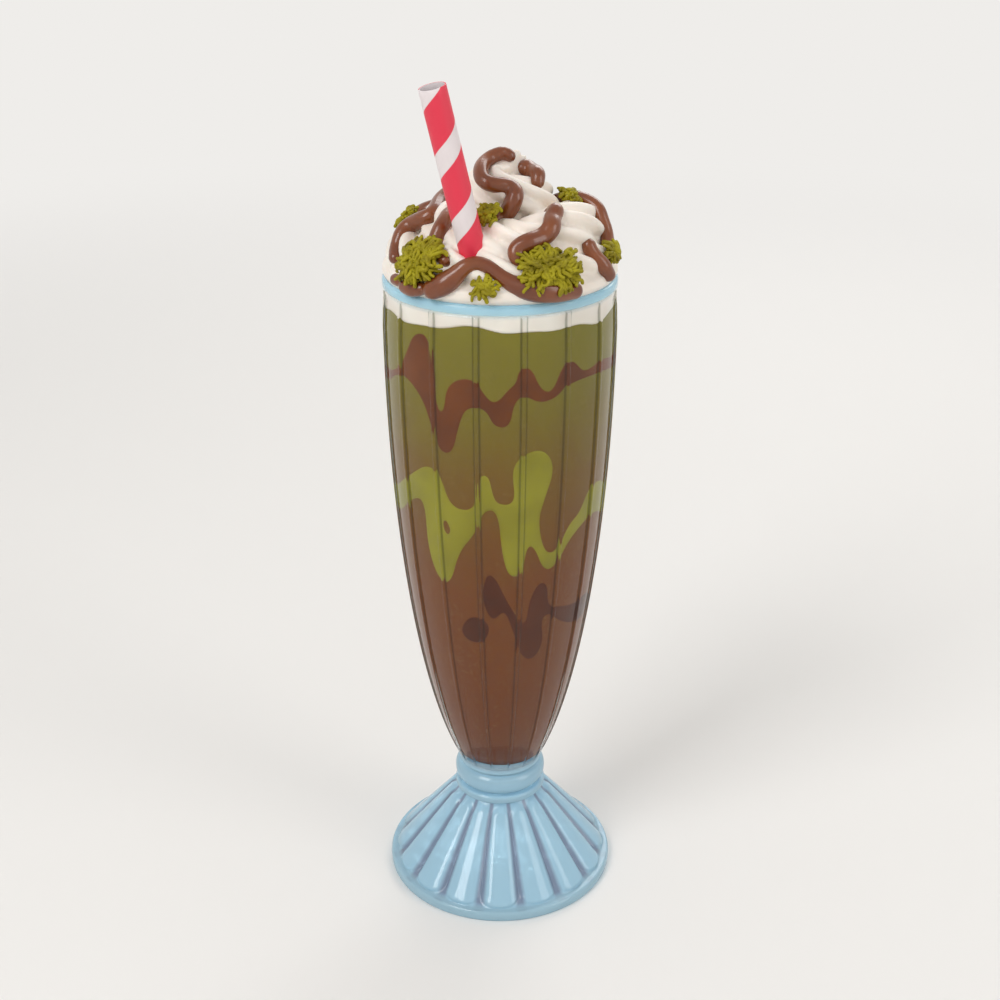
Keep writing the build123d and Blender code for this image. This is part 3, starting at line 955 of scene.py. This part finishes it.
def onCream(bearing, rise):  # the cream's point in that direction and the direction outward, in millimetres
    middle = np.array(sauce["middle"])
    turn, up = radians(bearing), radians(rise)
    out = np.array([sin(turn) * cos(up), -cos(turn) * cos(up), sin(up)])
    start = Vector((middle + sauce["farOut"] * out) * mm)
    place, normal, face, gap = creamSurface.ray_cast(start, Vector(-out))
    return (np.array(place) / mm if place else middle + sauce["noCream"] * out), out


def sweptTube(path, sizes, around=14):
    return swept(path, np.outer(sizes, np.ones(around)), (0.13, 0.21, 1.0), 1e-9)


def roundEnds(path, sizes):  # each end runs on into a half ball
    first = (path[0] - path[1]) / np.linalg.norm(path[0] - path[1])
    last = (path[-1] - path[-2]) / np.linalg.norm(path[-1] - path[-2])
    turns = [radians(a) for a in (80, 60, 40, 20)]
    start = [path[0] + first * sizes[0] * sin(a) for a in turns]
    end = [path[-1] + last * sizes[-1] * sin(a) for a in reversed(turns)]
    caps = np.array([cos(a) for a in turns])
    return np.vstack([start, path, end]), np.concatenate([caps * sizes[0], sizes, caps[::-1] * sizes[-1]])


def ropeOf(points):
    middle = np.array(sauce["middle"])
    line = roundedPath([(*point, 0.0)[:4] for point in points])
    found = [onCream(bearing, rise) for bearing, rise, size, clear in line]
    spots, outs = np.array([spot for spot, out in found]), np.array([out for spot, out in found])
    # the rope lies on the crests of the cream and spans the creases between them
    ground = np.linalg.norm(spots - middle, axis=1)
    reach = ground.copy()
    for again in range(sauce["bridging"]):
        reach[1:-1] = np.maximum(ground[1:-1], 0.5 * reach[1:-1] + 0.25 * (reach[:-2] + reach[2:]))
    spots = middle + outs * reach[:, None]
    for again in range(sauce["smoothing"]):
        spots[1:-1] = 0.5 * spots[1:-1] + 0.25 * (spots[:-2] + spots[2:])
    sizes, clear = line[:, 2], line[:, 3]
    path = spots + outs * (sizes * (1 - 2 * sauce["sink"]) + sauce["lift"] + clear)[:, None]
    return sweptTube(*roundEnds(path, sizes))


def makeSauce():
    piece = makePiece("chocolateSauce", *together([ropeOf(points) for points in sauce["ropes"]]))
    return melted(piece, sauce["voxel"], 5)


def makeSauceFinish():
    material, tree, shader = newMaterial("chocolateSauce")
    dark, light = sauce["tones"]
    tone = colourRamp(tree, noiseAt(tree, placeOf(tree), 90.0, 3.0), [(0.35, dark), (0.65, light)])
    fill(tree, shader, {"Base Color": tone, "Roughness": 0.28, "Coat Weight": 0.3, "Coat Roughness": 0.12,
                        "Subsurface Weight": 0.08, "Subsurface Radius": (0.003, 0.0012, 0.0006),
                        "Subsurface Scale": 0.4})
    return material


creamSurface = surfaceOf(whippedCream)
chocolateSauce = makeSauce()
chocolateSauce.data.materials.append(makeSauceFinish())
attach(chocolateSauce, "root")
print("sauce done")

# The pastry shreds: heaps of short curled threads over a small lumpy core
shreds = {
    "thickness": (0.52, 0.74),
    "length": (3.6, 6.4),
    "steps": 11,  # along each thread
    "core": (0.62, 0.55),  # the core's reach and height as shares of the heap's
    "lumps": 0.16,
    "tones": ("7a6e05", "958a0a", "aaa018"),
    # for each heap: its node, how many threads, how far they reach sideways, how high the heap is,
    # and its reach up the slope as a share of the reach sideways
    "heaps": [("kataifi_left_large", 190, 7.2, 4.6, 0.95), ("kataifi_right_large", 215, 9.0, 5.0, 0.64),
              ("kataifi_front_small", 36, 2.6, 2.7, 0.8), ("kataifi_right_edge", 36, 2.5, 2.7, 0.9),
              ("kataifi_right_top", 48, 3.4, 3.2, 0.85), ("kataifi_back_left", 46, 3.1, 3.2, 0.9),
              ("kataifi_by_straw", 46, 3.1, 3.4, 1.0)],
}


def clearOf(surfaces, point, gap):  # a point moved out to stand that far off the cream and the sauce
    for surface in surfaces:
        near, normal, face, away = surface.find_nearest(Vector(point * mm))
        height = (Vector(point * mm) - near).dot(normal) / mm
        if abs(away) < 6 * mm and height < gap:
            point = point + np.array(normal) * (gap - height)
    return point


def makeHeap(node, count, reach, high, squat, seed):
    low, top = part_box(node)
    middle = np.array((low + top) / 2) / mm
    dice = random.Random(seed)
    outward = np.array([middle[0], middle[1], 26.0])
    outward /= np.linalg.norm(outward)
    side = np.cross(outward, (0, 0, 1.0))
    side /= np.linalg.norm(side)
    rise = np.cross(side, outward)
    near, normal, face, away = creamSurface.find_nearest(Vector(middle * mm))
    base = np.array(near) / mm
    # the core that the threads cover
    dome = [(cos(radians(a)), sin(radians(a))) for a in range(-60, 90, 15)]
    core = spun([(0.3, -1.0)] + dome + [(0.02, 1.0)], 28).reshape(-1, 3)
    lumps = np.array([1 + shreds["lumps"] * noise.noise(Vector(p * 2.3 + seed)) for p in core])
    wide, tall = shreds["core"]
    core = core * lumps[:, None] * (wide * reach, wide * reach * squat, tall * high)
    core = base + core[:, :1] * side + core[:, 1:2] * rise + core[:, 2:] * outward
    parts = [wrapRows(core.reshape(-1, 28, 3))]
    steps = shreds["steps"]
    for number in range(count):
        turn = dice.uniform(0, 2 * pi)
        out = reach * 0.82 * sqrt(dice.random())
        above = high * sqrt(max(0.0, 1 - (out / (reach * 1.02)) ** 2)) * dice.uniform(0.55, 0.95)
        spot = base + side * out * cos(turn) + rise * out * squat * sin(turn) + outward * above
        heading = turn + dice.gauss(0, 1.3)
        lean = dice.uniform(-0.3, 0.4) + 0.25 * (1 - out / reach)
        length = dice.uniform(*shreds["length"]) * (0.74 if reach < 6 else 1.0)
        curl, wind = dice.uniform(-0.7, 0.7), dice.uniform(0.8, 1.6) * dice.choice((-1, 1))
        phase = dice.uniform(0, 2 * pi)
        path = []
        for step in range(steps):
            path.append(spot)
            bend = heading + curl * step / 3 + wind * 0.55 * sin(phase + step * 0.8)
            tilt = lean - 0.09 * step + 0.35 * sin(phase * 1.7 + step * 0.7)
            move = (side * cos(bend) + rise * sin(bend)) * cos(tilt) + outward * sin(tilt)
            spot = spot + move * length / steps
        thick = dice.uniform(*shreds["thickness"])
        path = np.array([clearOf(surfaces, p, thick * 0.7) for p in path])
        path[1:-1] = 0.5 * path[1:-1] + 0.25 * (path[:-2] + path[2:])
        taper = np.full(steps, thick) * np.linspace(1.0, dice.uniform(0.7, 0.95), steps)
        parts.append(sweptTube(*roundEnds(path, taper), around=7))
    name = "pastryShreds" + "".join(word.capitalize() for word in node.split("_")[1:])
    return makePiece(name, *together(parts))


def makeShredFinish():
    material, tree, shader = newMaterial("pistachioPastry")
    place = placeOf(tree)
    tone = colourRamp(tree, noiseAt(tree, place, 260.0, 2.0), list(zip((0.3, 0.5, 0.72), shreds["tones"])))
    fill(tree, shader, {"Base Color": tone, "Roughness": 0.6, "Specular IOR Level": 0.3,
                        "Subsurface Weight": 0.1, "Subsurface Radius": (0.001, 0.001, 0.0004),
                        "Subsurface Scale": 0.5})
    addBump(tree, shader, noiseAt(tree, place, 1500.0, 2.0), 0.0001, 0.5)
    return material


surfaces = [creamSurface, surfaceOf(chocolateSauce)]
shredFinish = makeShredFinish()
for number, (node, count, reach, high, squat) in enumerate(shreds["heaps"]):
    pastryHeap = makeHeap(node, count, reach, high, squat, 40 + number)
    pastryHeap.data.materials.append(shredFinish)
    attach(pastryHeap, "root")
    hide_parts(node)
print("pastry shreds done")
